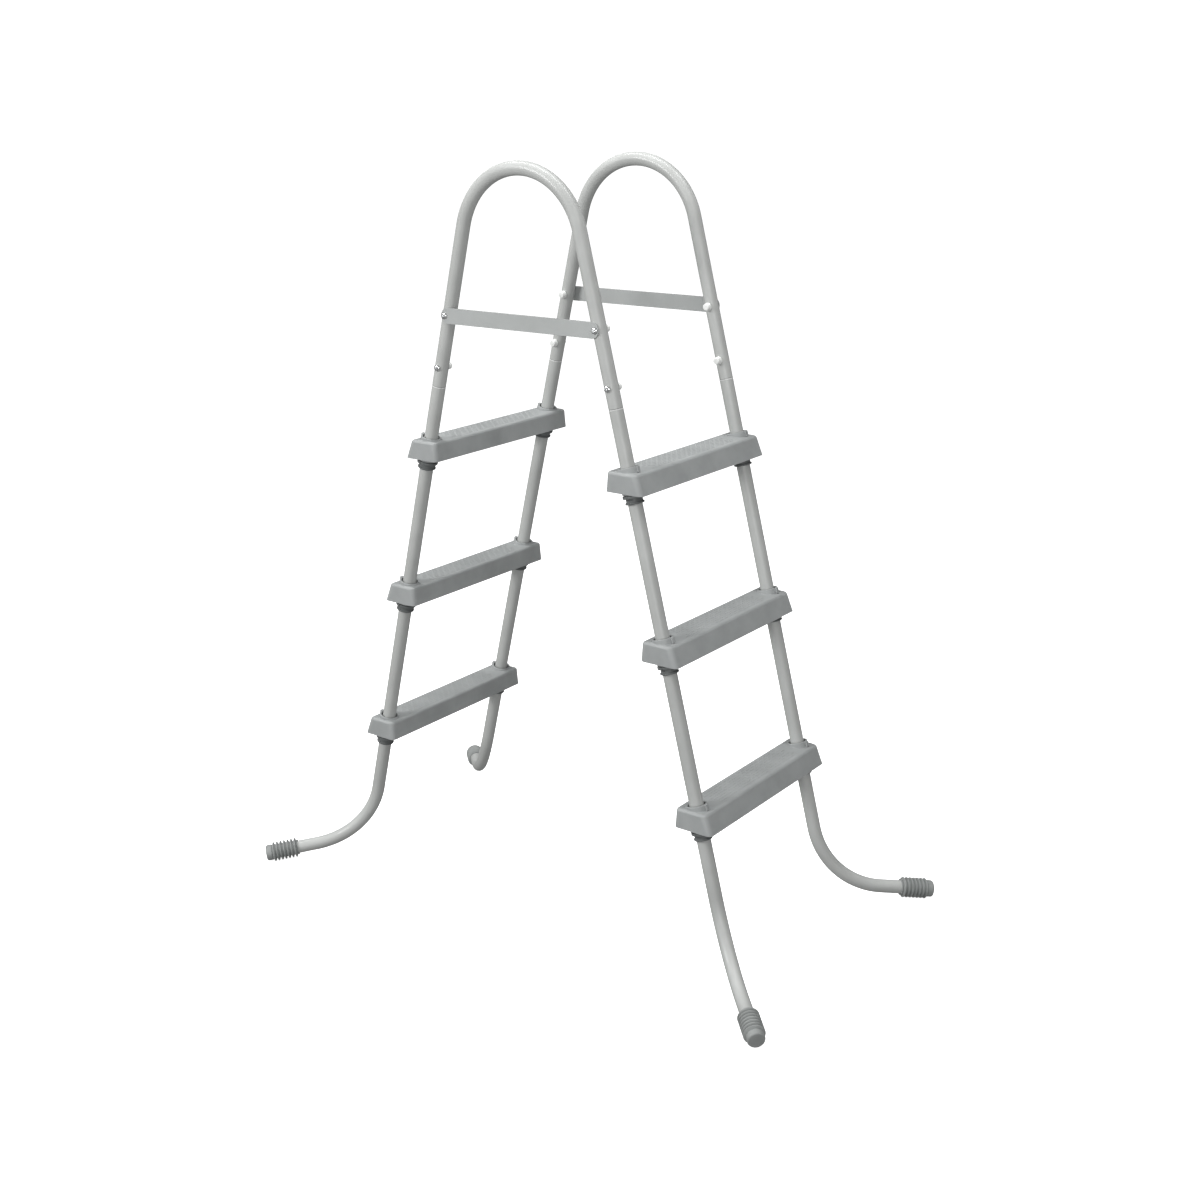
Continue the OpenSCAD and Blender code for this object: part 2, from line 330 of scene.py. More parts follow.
def make_finishes(joint_along_mm: float, lean: float) -> Finishes:
    """Make every material of the ladder.

    Args:
        joint_along_mm: how far up the leg line the joint is.
        lean: the leg line's lean, in radians.

    Returns:
        The materials.
    """
    # Powder coat on steel tube: even light grey, satin, with broad soft streaks of light
    tube = PowderCoat(
        "powder_coated_steel_tube", "#BABCBA", "#AFB1AF", 70, (0.44, 0.54), 2.2, 0.002,
        coat=0.15, ior=1.5, joint_along_mm=joint_along_mm, lean=lean,
    )
    # The same coat on flat strip, a little flatter, its colour darkened as painted shade
    bar = Finish(
        "powder_coated_steel_strip", "#ADB0AF", "#A5A8A7", 60, (0.40, 0.52), 1.6, 0.005,
        coat=0.1, ior=1.5,
    )
    # Moulded polypropylene: matt, fine-grained, with faint cloudy flow marks
    step = Finish(
        "moulded_polypropylene_step", "#A1A4A4", "#969999", 45, (0.50, 0.64), 0.9, 0.02, ior=1.49
    )
    # Moulded nylon: darker grey, slightly waxy
    stop = Finish("moulded_nylon_stop", "#6C6F6F", "#5E6161", 18, (0.42, 0.56), 0.7, 0.015, ior=1.53)
    # Bright zinc plate over steel: crisp small reflections with a faint haze
    screw = Finish("zinc_plated_screw", "#F0F1F1", "#DADCDD", 6, (0.2, 0.34), 0.5, 0.004, metallic=1.0)
    nut = Finish("zinc_plated_nut", "#C4C7C8", "#AEB1B3", 6, (0.26, 0.42), 0.5, 0.004, metallic=1.0)
    # White polyethylene: smooth and softly glossy
    nut_cap = Finish(
        "white_polyethylene_cap", "#F3F4F2", "#EAECEA", 12, (0.28, 0.38), 1.2, 0.004, ior=1.51
    )
    # Moulded rubber: mid grey, dull, with a fine moulded grain
    foot_cap = Finish(
        "moulded_rubber_foot_cap", "#989B9A", "#8A8D8C", 22, (0.46, 0.60), 0.8, 0.02, ior=1.52
    )
    return Finishes(*(f.material() for f in (tube, bar, step, stop, screw, nut, nut_cap, foot_cap)))


# ==== Geometry helpers


def put_in_scene(name: str, data: ID, place: Optional[Matrix] = None) -> Object:
    """Make an object of a mesh, a light or a camera and link it to the scene.

    Args:
        name: its name.
        data: the mesh, light or camera.
        place: where it is. None leaves it at the origin.

    Returns:
        The new object.
    """
    made = bpy.data.objects.new(name, data)
    bpy.context.scene.collection.objects.link(made)
    if place is not None:
        made.matrix_world = place
    return made


def finish_mesh(
    name: str,
    bm: BMesh,
    material: Material,
    place: Optional[Matrix] = None,
    smooth_deg: float = 35,
    flat_mm2: float = math.inf,
) -> None:
    """Turn a bmesh into the finished piece that stands for one of the frame's nodes.

    Args:
        name: the name of the node and of its piece.
        bm: the mesh, in millimetres. It is freed.
        material: its material.
        place: puts the mesh in the frame's axes. None leaves it.
        smooth_deg: edges sharper than this stay sharp.
        flat_mm2: faces larger than this are flat, so that the roundings beside them stay narrow.
    """
    if place is not None:
        bmesh.ops.transform(bm, matrix=place, verts=bm.verts)
    for face in bm.faces:
        face.smooth = face.calc_area() < flat_mm2
    bmesh.ops.transform(bm, matrix=Matrix.Scale(MM, 4), verts=bm.verts)
    bmesh.ops.recalc_face_normals(bm, faces=bm.faces)
    sharp = math.radians(smooth_deg)
    for edge in bm.edges:
        edge.smooth = len(edge.link_faces) == 2 and edge.calc_face_angle(0) < sharp
    mesh = bpy.data.meshes.new(name)
    bm.to_mesh(mesh)
    bm.free()
    piece = put_in_scene(name, mesh)
    mesh.materials.append(material)
    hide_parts(name)
    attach(piece, "root")
    LOG.info("%s: %d faces", name, len(mesh.polygons))


def round_edges(bm: BMesh, edges: list[BMEdge], radius: float, segments: int) -> None:
    """Bevel some edges round.

    Args:
        bm: the mesh.
        edges: the edges.
        radius: the size of the rounding.
        segments: how many parts it has.
    """
    bmesh.ops.bevel(
        bm, geom=edges, offset=radius, offset_type="OFFSET", affect="EDGES",
        segments=segments, profile=0.5, material=-1,
    )


def give_wall(bm: BMesh, wall: float, probe: BMFace, outward: Vector) -> None:
    """Turn an open skin into a closed wall, inwards.

    Args:
        bm: the skin, with its faces turned alike.
        wall: the wall's thickness.
        probe: one of its faces.
        outward: a direction that this face should look in.
    """
    if probe.normal.dot(outward) < 0:
        bmesh.ops.reverse_faces(bm, faces=bm.faces)
    bmesh.ops.solidify(bm, geom=bm.faces, thickness=wall)


def lathe(bm: BMesh, outline: Outline, steps: int = 48) -> list[BMVert]:
    """Spin an outline of (radius, height) points a full turn round Z.

    Args:
        bm: the mesh to add to.
        outline: the points. Ends on the axis close the shape, and others are left open.
        steps: how many parts the turn has.

    Returns:
        The new vertices.
    """
    known = set(bm.verts)
    verts = [bm.verts.new((radius, 0, height)) for radius, height in outline]
    geom = verts + [bm.edges.new(pair) for pair in zip(verts, verts[1:])]
    bmesh.ops.spin(
        bm, geom=geom, cent=(0, 0, 0), axis=(0, 0, 1), angle=math.tau, steps=steps, use_merge=True
    )
    bmesh.ops.remove_doubles(bm, verts=[v for v in bm.verts if v not in known], dist=TINY / 10)
    return [v for v in bm.verts if v not in known]


def arc(cx: float, cz: float, radius: float, start: float, end: float, steps: int) -> Outline:
    """Return points along an arc of an outline.

    Args:
        cx, cz: the arc's centre.
        radius: its radius.
        start, end: its ends, in degrees from the outline's +X.
        steps: how many parts it has.

    Returns:
        The points, both ends among them.
    """
    turns = [math.radians(start + (end - start) * i / steps) for i in range(steps + 1)]
    return [(cx + radius * math.cos(t), cz + radius * math.sin(t)) for t in turns]


@dataclass
class TubeSweep:
    """A round tube drawn by pushing an open ring along straight runs and bends.

    Attributes:
        bm: the mesh it is drawn in.
        radius: the tube's outside radius.
        start: where the ring starts and which way it faces, with +z along the tube.
        segments: how many parts the ring has.
    """

    bm: BMesh
    radius: float
    start: Matrix
    segments: int = 48
    ring: list[BMEdge] = field(init=False)

    def __post_init__(self) -> None:
        """Draw the first ring."""
        made = bmesh.ops.create_circle(
            self.bm, segments=self.segments, radius=self.radius, matrix=self.start
        )
        self.ring = list({e for v in made["verts"] for e in v.link_edges})
        self.place = self.start.copy()

    def straight(self, length: float, new_radius: Optional[float] = None) -> None:
        """Push the ring straight on.

        Args:
            length: how far.
            new_radius: the radius at the far end, if it changes.
        """
        made = bmesh.ops.extrude_edge_only(self.bm, edges=self.ring)["geom"]
        self.ring = [g for g in made if isinstance(g, BMEdge)]
        verts = list({v for e in self.ring for v in e.verts})
        step = self.place.to_3x3() @ Vector((0, 0, length))
        bmesh.ops.translate(self.bm, vec=step, verts=verts)
        self.place = Matrix.Translation(step) @ self.place
        if new_radius is not None:
            scale = new_radius / self.radius
            bmesh.ops.scale(
                self.bm,
                vec=(scale,) * 3,
                space=Matrix.Translation(-self.place.translation),
                verts=verts,
            )
            self.radius = new_radius

    def bend(self, centre: Vector, axis: Vector, angle: float, steps: int) -> None:
        """Sweep the ring round a bend.

        Args:
            centre: the bend's centre.
            axis: the axis that it turns about, by the right-hand rule.
            angle: how far it turns, in radians.
            steps: how many parts the bend has.
        """
        verts = list({v for e in self.ring for v in e.verts})
        made = bmesh.ops.spin(
            self.bm, geom=self.ring + verts, cent=centre, axis=axis, angle=angle, steps=steps
        )["geom_last"]
        self.ring = [g for g in made if isinstance(g, BMEdge)]
        turn = Matrix.Rotation(angle, 4, axis)
        self.place = Matrix.Translation(centre) @ turn @ Matrix.Translation(-centre) @ self.place

    def close(self, wall: float) -> None:
        """Turn the open skin into a closed tube wall.

        Args:
            wall: the wall's thickness, inwards.
        """
        bmesh.ops.recalc_face_normals(self.bm, faces=self.bm.faces)
        centre = self.start.translation
        probe = min(self.bm.faces, key=lambda f: (f.calc_center_median() - centre).length)
        give_wall(self.bm, wall, probe, probe.calc_center_median() - centre)


@dataclass(frozen=True)
class LegLine:
    """The line that each leg and handrail arm follows, taken from the frame.

    Attributes:
        x, z: a point on the back right leg's middle line.
        y: how far each handrail is from the middle of the ladder.
        lean: the lean from upright, in radians.
    """

    x: float
    z: float
    y: float
    lean: float

    @classmethod
    def from_frame(cls, head_d: float) -> "LegLine":
        """Find the line through the middles of the brace screws and the joint screws.

        Args:
            head_d: diameter of the screws' heads, which are the widest thing on them.

        Returns:
            The line, in millimetres.
        """
        points = []
        for node in ("brace_screws", "joint_screws"):
            low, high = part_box(node)
            points.append((high.x / MM - head_d / 2, (low.z + high.z) / 2 / MM))
        (x_up, z_up), (x_low, z_low) = points
        low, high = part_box("handrail_back")
        return cls(x_up, z_up, (low.y + high.y) / 2 / MM, math.atan2(x_low - x_up, z_up - z_low))

    def joint_z(self, tube_d: float) -> float:
        """Return the height of the leg joint on the middle line of a tube this thick."""
        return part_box("handrail_back")[0].z / MM + tube_d / 2 * math.sin(self.lean)

    def x_at(self, z: float) -> float:
        """Return the line's distance from the ladder's middle at a height."""
        return self.x + (self.z - z) * math.tan(self.lean)

    def along(self, z: float) -> float:
        """Return how far up the line a height is, from the origin's foot on it."""
        return z * math.cos(self.lean) - self.x_at(z) * math.sin(self.lean)

    def at(self, z: float) -> Matrix:
        """Return the place on the back right leg at a height, with +z up the leg."""
        return Matrix.Translation((self.x_at(z), self.y, z)) @ Matrix.Rotation(-self.lean, 4, "Y")


def to_corner(end: End, side: Side) -> Matrix:
    """Return the mirroring that takes the back right corner to another one."""
    return Matrix.Diagonal((side.value, end.value, 1, 1))


# ==== Tube frame


@dataclass
class TubeFrame:
    """The two handrails and the four legs.

    Attributes:
        line: the leg line.
        finish: the tubes' material.
        tube_d, wall: outside diameter and wall of the tube.
        spigot_r, spigot_len: radius and length of a leg's swaged end inside the handrail.
        foot_bend_r, foot_bend_deg, foot_turn_deg: the bend in each foot.
        foot_straight: the straight tube past that bend.
        end_round: how far the tube's cut ends are rounded.
        shoulder: length of the step from a leg's swaged end to the full tube.
        top_steps, foot_steps: how many parts the bends have, at the top and in a foot.
    """

    line: LegLine
    finish: Material
    tube_d: float = 25
    wall: float = 1.2
    spigot_r: float = 11.1
    spigot_len: float = 70
    foot_bend_r: float = 150
    foot_bend_deg: float = 72.5
    foot_turn_deg: float = 47
    foot_straight: float = 97
    end_round: float = 0.5
    shoulder: float = 0.01
    top_steps: int = 72
    foot_steps: int = 36

    @property
    def joint_z(self) -> float:
        """Height of the leg joint on the tube's middle line."""
        return self.line.joint_z(self.tube_d)

    def build(self) -> None:
        """Build both handrails and all four legs."""
        for end in End:
            self.build_handrail(end)
            for side in Side:
                self.build_leg(end, side)

    def build_handrail(self, end: End) -> None:
        """Build one handrail from its right-hand arm over the top to its left-hand one.

        Args:
            end: front or back.
        """
        node = f"handrail_{end.name.lower()}"
        lean, radius = self.line.lean, self.tube_d / 2
        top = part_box(node)[1].z / MM - radius
        reach = self.line.x * math.cos(lean) + (self.line.z - top) * math.sin(lean)
        bend_r = reach / (1 - math.sin(lean))
        centre = Vector((0, self.line.y, top - bend_r))
        foot = self.line.at(self.joint_z)
        arm = (centre.z + bend_r * math.sin(lean) - self.joint_z) / math.cos(lean)
        bm = bmesh.new()
        sweep = TubeSweep(bm, radius - self.end_round, foot)
        sweep.straight(self.end_round, radius)
        sweep.straight(arm - self.end_round)
        sweep.bend(centre, Vector((0, -1, 0)), math.pi - 2 * lean, self.top_steps)
        sweep.straight(arm - self.end_round)
        sweep.straight(self.end_round, radius - self.end_round)
        sweep.close(self.wall)
        finish_mesh(node, bm, self.finish, to_corner(end, Side.RIGHT))

    def build_leg(self, end: End, side: Side) -> None:
        """Build one leg, from its swaged end down to its foot.

        Args:
            end: front or back.
            side: left or right.
        """
        radius, turn = self.tube_d / 2, math.radians(self.foot_bend_deg)
        length = self.leg_length(end, side)
        bm = bmesh.new()
        # Drawn with the joint at the origin and the leg upright
        down = Matrix.Rotation(math.pi, 4, "X")
        sweep = TubeSweep(bm, self.spigot_r, Matrix.Translation((0, 0, self.spigot_len)) @ down)
        sweep.straight(self.spigot_len)
        sweep.straight(self.shoulder, radius - self.end_round)
        sweep.straight(self.end_round, radius)
        sweep.straight(length - self.end_round - self.shoulder)
        outwards = Matrix.Rotation(math.radians(self.foot_turn_deg), 3, "Z") @ Vector((1, 0, 0))
        centre = outwards * self.foot_bend_r - Vector((0, 0, length))
        sweep.bend(centre, outwards.cross(Vector((0, 0, 1))), turn, self.foot_steps)
        sweep.straight(self.foot_straight)
        sweep.close(self.wall)
        place = to_corner(end, side) @ self.line.at(self.joint_z)
        finish_mesh(f"leg_{corner_name(end, side)}", bm, self.finish, place)

    def leg_length(self, end: End, side: Side) -> float:
        """Work out a leg's straight length, from the joint to the foot's bend.

        Args:
            end, side: which leg it is. Its lowest point in the frame sets the length.

        Returns:
            The length.
        """
        low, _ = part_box(f"leg_{corner_name(end, side)}")
        lean, turn = self.line.lean, math.radians(self.foot_bend_deg)
        towards = math.cos(math.radians(self.foot_turn_deg))
        outward = self.foot_bend_r * (1 - math.cos(turn)) + self.foot_straight * math.sin(turn)
        down = self.foot_bend_r * math.sin(turn) + self.foot_straight * math.cos(turn)
        dip = math.sin(turn) * towards * math.sin(lean) - math.cos(turn) * math.cos(lean)
        end_z = low.z / MM + self.tube_d / 2 * math.sqrt(1 - dip * dip)
        drop = self.joint_z - end_z + outward * towards * math.sin(lean)
        return drop / math.cos(lean) - down


# ==== Steps


@dataclass
class Step:
    """One moulded step: a hollow tread with collars, sleeves and ribs.

    Attributes:
        side, level: which step it is.
        line: the leg line.
        finish: its material.
        top_tread_z: height of the top treads, from the record.
        height, depth, overhang: the moulding's size, and its length past each leg.
        draft, shift, end_draft: how the lower rim widens and shifts outwards.
        wall, corner_r, edge_r: the moulding's wall and roundings.
        sleeve_r, boss_r, collar_r, collar_up: the sleeve round each leg and its collar.
        foot_r, foot_up: the fillet where a collar meets the tread.
        lip_r: rounding of a collar's lip.
        sleeve_short: how far the sleeve ends above the moulding's lower rim.
        tab_w, tab_out, tab_sunk, tab_low: the tab on a collar's outer side: its width, how far it
            stands out and reaches into the collar, and how far it ends below the collar's lip.
        ribs, rib_t: the cross ribs inside.
        pip_rows, pip_pitch, pip: the raised dashes on the tread: rows, pitch across and along, and
            width, length and height of one.
        pip_top: the width and length of a dash's top as a share of its foot's.
        pip_stagger: how far each row is shifted past the last, as a share of the pitch along.
        pip_clear: the plain tread between the dashes and a collar.
    """

    side: Side
    level: Level
    line: LegLine
    finish: Material
    top_tread_z: float
    height: float = 35
    depth: float = 60
    overhang: float = 23
    draft: float = 8
    shift: float = 5.5
    end_draft: float = 1
    wall: float = 3
    corner_r: float = 9
    edge_r: float = 4.5
    sleeve_r: float = 15.6
    boss_r: float = 18.6
    collar_r: float = 19.1
    collar_up: float = 6
    foot_r: float = 20.1
    foot_up: float = 1.3
    lip_r: float = 0.9
    sleeve_short: float = 2
    tab_w: float = 7
    tab_out: float = 3
    tab_sunk: float = 2
    tab_low: float = 0.3
    ribs: int = 7
    rib_t: float = 2
    pip_rows: int = 7
    pip_pitch: tuple[float, float] = (6.6, 15.0)
    pip: tuple[float, float, float] = (1.8, 12.0, 0.5)
    pip_top: tuple[float, float] = (0.45, 0.9)
    pip_stagger: float = 0.382
    pip_clear: float = 10

    @property
    def node(self) -> str:
        """The frame's name for this step."""
        return f"step_{self.side.name.lower()}_{self.level.value}"

    @property
    def tread_z(self) -> float:
        """Height of the tread above the ground, measured down from the top step's."""
        top = f"step_{self.side.name.lower()}_{Level.TOP.value}"
        return self.top_tread_z - (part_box(top)[0].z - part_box(self.node)[0].z) / MM

    @property
    def length(self) -> float:
        """Length of the tread."""
        return 2 * (self.line.y + self.overhang)

    def build(self) -> None:
        """Build the step as one piece in its own frame, then put it in place."""
        bm = bmesh.new()
        self.draw_shell(bm)
        self.draw_ribs(bm)
        self.draw_pips(bm)
        for end in End:
            self.draw_sleeve(bm, end)
        place = Matrix.Translation((self.line.x_at(self.tread_z), 0, self.tread_z))
        place = to_corner(End.BACK, self.side) @ place
        finish_mesh(self.node, bm, self.finish, place, flat_mm2=LARGE_FLAT)

    def draw_shell(self, bm: BMesh) -> None:
        """Draw the outer shell: a drafted block, rounded, open below and holed for the legs.

        Args:
            bm: the mesh to add to.
        """
        for vert in bmesh.ops.create_cube(bm, size=1)["verts"]:
            low = vert.co.z < 0
            half_x = self.depth / 2 + low * self.draft
            half_y = self.length / 2 + low * self.end_draft
            vert.co.x = low * self.shift + math.copysign(half_x, vert.co.x)
            vert.co.y = math.copysign(half_y, vert.co.y)
            vert.co.z = -low * self.height
        upright = [e for e in bm.edges if abs((e.verts[0].co - e.verts[1].co).z) > self.height / 2]
        round_edges(bm, upright, self.corner_r, 6)
        round_edges(bm, [e for e in bm.edges if self.level_at(e, 0)], self.edge_r, 4)
        floor = [f for f in bm.faces if self.level_at(f, -self.height)]
        bmesh.ops.delete(bm, geom=floor, context="FACES")
        for end in End:
            self.cut_leg_hole(bm, end)
        bmesh.ops.recalc_face_normals(bm, faces=bm.faces)
        tread = max((f for f in bm.faces if self.level_at(f, 0)), key=lambda f: f.calc_area())
        give_wall(bm, self.wall, tread, Vector((0, 0, 1)))

    def level_at(self, part: BMEdge | BMFace, z: float) -> bool:
        """Return whether an edge or face lies level at a height."""
        return all(abs(v.co.z - z) < TINY for v in part.verts)

    def cut_leg_hole(self, bm: BMesh, end: End) -> None:
        """Cut the hole for a leg through the tread.

        Args:
            bm: the mesh.
            end: the end that the leg is at.
        """
        middle, half = end.value * self.line.y, self.boss_r
        spot = Vector((0, middle, 0))

        def tread_faces() -> list[BMFace]:
            """Return the faces of the tread, the nearest to the leg first."""
            faces = [f for f in bm.faces if self.level_at(f, 0)]
            return sorted(faces, key=lambda f: (f.calc_center_median() - spot).length)

        for point, normal in (
            ((0, middle - half, 0), (0, 1, 0)),
            ((0, middle + half, 0), (0, 1, 0)),
            ((-half, 0, 0), (1, 0, 0)),
            ((half, 0, 0), (1, 0, 0)),
        ):
            faces = [
                f for f in tread_faces() if normal[1] or abs(f.calc_center_median().y - middle) < half
            ]
            parts = dict.fromkeys(p for f in faces for p in (*f.edges, *f.verts))
            geom = faces + list(parts)
            bmesh.ops.bisect_plane(bm, geom=geom, plane_co=point, plane_no=normal, dist=TINY / 10)
        bmesh.ops.subdivide_edges(bm, edges=list(tread_faces()[0].edges), cuts=11)
        square = tread_faces()[0]
        bmesh.ops.inset_individual(bm, faces=[square], thickness=0.2)
        for vert in square.verts:
            turn = math.atan2(vert.co.y - middle, vert.co.x)
            vert.co.x = self.sleeve_r * math.cos(turn) / math.cos(self.line.lean)
            vert.co.y = middle + self.sleeve_r * math.sin(turn)
        bmesh.ops.delete(bm, geom=[square], context="FACES_ONLY")

    def draw_ribs(self, bm: BMesh) -> None:
        """Draw the ribs under the tread: one along the step and several across it.

        Args:
            bm: the mesh to add to.
        """
        sink = self.wall / 2
        rib_h = self.height - self.rib_t - sink
        half = self.depth / 2 - sink
        for i in range(1, self.ribs + 1):
            y = (i / (self.ribs + 1) - 0.5) * 2 * self.line.y
            self.draw_block(bm, (half, self.rib_t / 2, rib_h / 2), (0, y, -sink - rib_h / 2))
        keel = self.length / 2 - sink
        self.draw_block(bm, (self.rib_t / 2, keel, rib_h / 2), (self.shift / 2, 0, -sink - rib_h / 2))

    def draw_block(
        self,
        bm: BMesh,
        half: tuple[float, float, float],
        centre: tuple[float, float, float],
        top: tuple[float, float] = (1.0, 1.0),
    ) -> None:
        """Draw a plain or tapered block.

        Args:
            bm: the mesh to add to.
            half: half its size each way.
            centre: its middle.
            top: the size of its top along X and Y, as a share of its foot's.
        """
        place = Matrix.Translation(centre) @ Matrix.Diagonal((*half, 1))
        verts = bmesh.ops.create_cube(bm, size=2)["verts"]
        bmesh.ops.scale(bm, vec=(*top, 1), verts=[v for v in verts if v.co.z > 0])
        bmesh.ops.transform(bm, matrix=place, verts=verts)

    def draw_pips(self, bm: BMesh) -> None:
        """Draw rows of low raised dashes on the tread, staggered from row to row.

        Args:
            bm: the mesh to add to.
        """
        wide, long, high = self.pip
        across, along = self.pip_pitch
        reach = self.line.y - self.collar_r - self.pip_clear
        last = int(2 * reach / along) - 2
        for row in range(self.pip_rows):
            x = (row - (self.pip_rows - 1) / 2) * across
            shift = row * self.pip_stagger % 1 - 0.5
            for i in range(last + 1):
                y = (i - last / 2 + shift) * along
                self.draw_block(bm, (wide / 2, long / 2, high), (x, y, 0), self.pip_top)

    def draw_sleeve(self, bm: BMesh, end: End) -> None:
        """Draw the sleeve round one leg with its collar and the collar's tab.

        Args:
            bm: the mesh to add to.
            end: the end that the leg is at.
        """
        known = set(bm.verts)
        lean, top, edge, lip = self.line.lean, self.collar_up, self.edge_r, self.lip_r
        foot = -(self.height + self.collar_r * math.sin(lean)) / math.cos(lean) + self.sleeve_short
        outline = [(self.boss_r, -edge), (self.collar_r, -edge)]
        outline += arc(self.collar_r - lip, top - lip, lip, 0, 90, 4)
        outline += arc(self.sleeve_r + lip, top - lip, lip, 90, 180, 4)
        outline += [(self.sleeve_r, foot), (self.boss_r, foot), (self.boss_r, -edge)]
        lathe(bm, outline)
        half_x = (self.tab_out + self.tab_sunk) / 2
        half = (half_x, self.tab_w / 2, (top + edge) / 2 - self.tab_low)
        centre = (self.collar_r + self.tab_out - half_x, 0, (top - edge) / 2)
        self.draw_block(bm, half, centre, (0.9, 0.9))
        fresh = [v for v in bm.verts if v not in known]
        upright = Matrix.Translation((0, end.value * self.line.y, 0))
        bmesh.ops.transform(bm, matrix=upright @ Matrix.Rotation(-lean, 4, "Y"), verts=fresh)
        sunk = (self.foot_r - self.foot_up, -self.wall / 2)
        fillet = [sunk] + arc(self.foot_r, self.foot_up, self.foot_up, 180, 270, 4)
        fillet += [(self.foot_r, -self.wall / 2), sunk]
        bmesh.ops.transform(bm, matrix=upright, verts=lathe(bm, fillet))


@dataclass
class StepStops:
    """The two-part stops that carry the steps on the legs.

    Attributes:
        line: the leg line.
        finish: their material.
        bore_r, body_r, neck_r, flange_r, lip_r: radii of the bore, sleeve, neck, flange and lip.
        flange_t, tail, lip_t: thickness of the flange, length below it and thickness of the lip.
        flange_round, lip_round, chamfer: rounding of the flange and lip, and the sleeve's upper edge.
        gap: the gap between the flange and the step.
        sleeve_up: how far below the tread the sleeve ends.
        split_deg: half the angle of the gap between the two halves.
    """

    line: LegLine
    finish: Material
    bore_r: float = 12.65
    body_r: float = 15.3
    neck_r: float = 14.4
    flange_r: float = 19
    lip_r: float = 16.5
    flange_t: float = 5
    tail: float = 10
    lip_t: float = 3.2
    flange_round: float = 0.8
    lip_round: float = 1.2
    chamfer: tuple[float, float] = (1, 2)
    gap: float = 0.1
    sleeve_up: float = 14
    split_deg: float = 1.2

    def build(self, steps: Iterable[Step]) -> None:
        """Build both halves of the stop below each end of each step.

        Args:
            steps: the steps that they carry.
        """
        for step in steps:
            for end in End:
                for half, turn in (("inner", math.pi), ("outer", 0.0)):
                    self.build_half(step, end, half, turn)

    def outline(self) -> Outline:
        """Draw the outline of a stop's wall, with its height measured from the tread.

        Returns:
            The points of the closed outline.
        """
        lean, soft, lip = self.line.lean, self.flange_round, self.lip_round
        top = -(Step.height + self.flange_r * math.sin(lean)) / math.cos(lean) - self.gap
        under = top - self.flange_t
        foot = under - self.tail
        narrow, down = self.chamfer
        points = [(self.bore_r, -self.sleeve_up), (self.body_r - narrow, -self.sleeve_up)]
        points += [(self.body_r, -self.sleeve_up - down), (self.body_r, top)]
        points += arc(self.flange_r - soft, top - soft, soft, 90, 0, 3)
        points += arc(self.flange_r - soft, under + soft, soft, 0, -90, 3)
        points += [(self.neck_r, under), (self.neck_r, foot + self.lip_t + 1)]
        points += arc(self.lip_r - lip, foot + self.lip_t - lip, lip, 90, 0, 3)
        points += arc(self.lip_r - lip, foot + lip, lip, 0, -90, 3)
        return points + [(self.bore_r, foot)]

    def build_half(self, step: Step, end: End, half: str, turn: float) -> None:
        """Build one half of a stop.

        Args:
            step: the step that it carries.
            end: the end of the step.
            half: its name, inner or outer.
            turn: how far round the leg it is turned, in radians.
        """
        node = f"step_stop_{corner_name(end, step.side)}_{step.level.value}_{half}"
        bm = bmesh.new()
        verts = [bm.verts.new((radius, 0, height)) for radius, height in self.outline()]
        edges = [bm.edges.new(pair) for pair in zip(verts, verts[1:] + verts[:1])]
        bmesh.ops.edgeloop_fill(bm, edges=edges)
        split = math.radians(self.split_deg)
        first = Matrix.Rotation(split - math.pi / 2, 3, "Z")
        bmesh.ops.rotate(bm, cent=(0, 0, 0), matrix=first, verts=bm.verts)
        geom = [*bm.verts, *bm.edges, *bm.faces]
        sweep = math.pi - 2 * split
        bmesh.ops.spin(bm, geom=geom, cent=(0, 0, 0), axis=(0, 0, 1), angle=sweep, steps=24)
        place = to_corner(end, step.side) @ self.line.at(step.tread_z)
        finish_mesh(node, bm, self.finish, place @ Matrix.Rotation(turn, 4, "Z"))


# ==== Hardware


@dataclass
class BraceBar:
    """A flat strip with round ends across the outer faces of a handrail.

    Attributes:
        end: front or back.
        finish: its material.
        edge_r: rounding of its edges.
        end_share: how round its ends are, as a share of half its width.
    """

    end: End
    finish: Material
    edge_r: float = 0.4
    end_share: float = 0.98

    def build(self) -> None:
        """Build the strip to fill its node's box."""
        node = f"brace_bar_{self.end.name.lower()}"
        low, high = (Vector(c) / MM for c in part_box(node))
        size, centre = high - low, (high + low) / 2
        bm = bmesh.new()
        place = Matrix.Translation(centre) @ Matrix.Diagonal((*size, 1))
        bmesh.ops.create_cube(bm, size=1, matrix=place)
        corners = [e for e in bm.edges if abs((e.verts[0].co - e.verts[1].co).y) > size.y / 2]
        round_edges(bm, corners, size.z / 2 * self.end_share, 14)
        flats = sorted(bm.faces, key=lambda f: f.calc_area())[-2:]
        round_edges(bm, [e for f in flats for e in f.edges], self.edge_r, 2)
        finish_mesh(node, bm, self.finish, flat_mm2=LARGE_FLAT)


